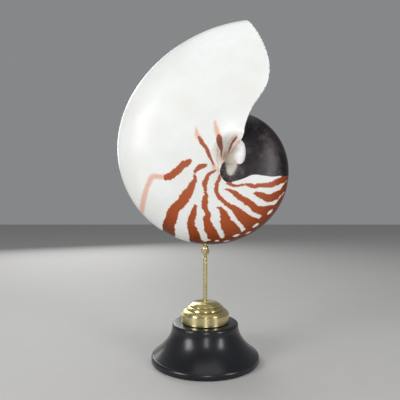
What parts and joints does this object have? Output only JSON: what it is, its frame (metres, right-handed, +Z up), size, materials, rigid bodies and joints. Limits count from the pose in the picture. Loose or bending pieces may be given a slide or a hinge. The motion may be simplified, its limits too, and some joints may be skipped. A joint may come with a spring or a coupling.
{
  "type": "nautilus shell half on stand",
  "caption": "Half of a nautilus shell, sawn along its middle plane with its chambers open behind, held up on a thin brass rod over a turned black base.",
  "frame": {"origin": "middle of the base's underside, on the rod's axis", "axes": "+Z up along the rod, -Y towards the viewer who sees the shell's outside, +Y the way its sawn face looks"},
  "size_m": [0.1265, 0.078, 0.2465],
  "materials": {
    "shell": "polished natural shell, white with brown stripes, a black film and a pearly inside",
    "brass": "turned and lacquered, bright",
    "black_lacquer": "turned wood, gloss black lacquer"
  },
  "bodies": {
    "root": {"shell_half": "shell", "rod": "brass", "lower_nut": "brass", "inner_nut": "brass", "brass_cap": "brass", "base": "black_lacquer"}
  },
  "joints": []
}
